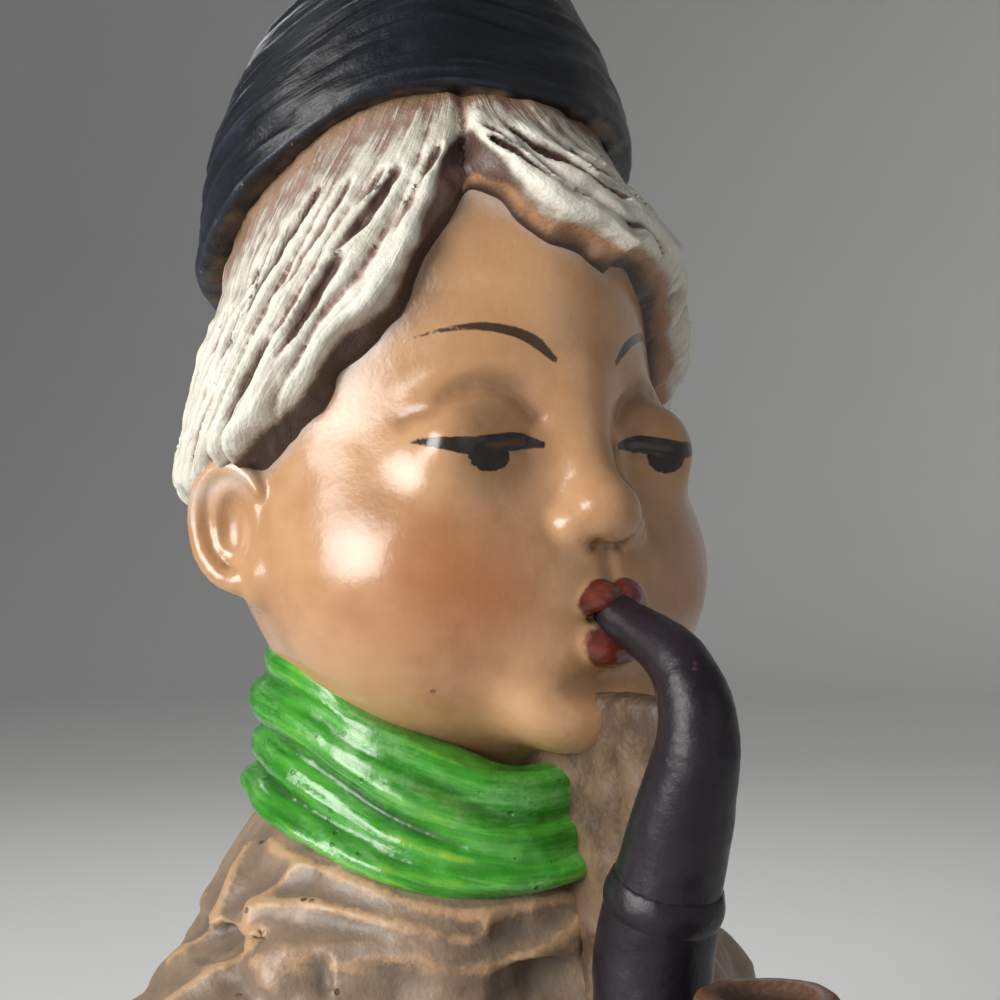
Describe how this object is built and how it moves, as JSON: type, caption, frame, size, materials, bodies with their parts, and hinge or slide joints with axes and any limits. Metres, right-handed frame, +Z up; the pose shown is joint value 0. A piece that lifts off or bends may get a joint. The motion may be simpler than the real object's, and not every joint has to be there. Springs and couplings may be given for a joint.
{
  "type": "chalkware figure",
  "caption": "Painted plaster bust of a boy in a domed cap and a wrapped scarf with a large bent pipe, standing flat on a felt base as a shelf ornament.",
  "frame": {"origin": "on the standing surface, under the middle line of the head and neck", "axes": "+Z up, the face looks along -Y, +X is the figure's own left"},
  "size_m": [0.098, 0.0969, 0.181],
  "materials": {
    "coat_paint": "satin",
    "button_paint": "satin",
    "scarf_paint": "gloss",
    "flesh_paint": "gloss",
    "hair_paint": "matte",
    "cap_paint": "satin",
    "pipe_paint": "satin",
    "bare_plaster": "matte",
    "steel_wire": "satin",
    "felt": "matte"
  },
  "bodies": {
    "root": {"torso_casting": "coat_paint", "coat_collar": "coat_paint", "coat_buttons": "button_paint", "scarf": "scarf_paint", "head_casting": "flesh_paint", "hair": "hair_paint", "cap": "cap_paint", "pipe_mouthpiece": "pipe_paint", "pipe_ferrule": "pipe_paint", "pipe_bowl": "pipe_paint", "pipe_web": "bare_plaster", "pipe_wire": "steel_wire", "felt_pad": "felt"}
  },
  "joints": []
}
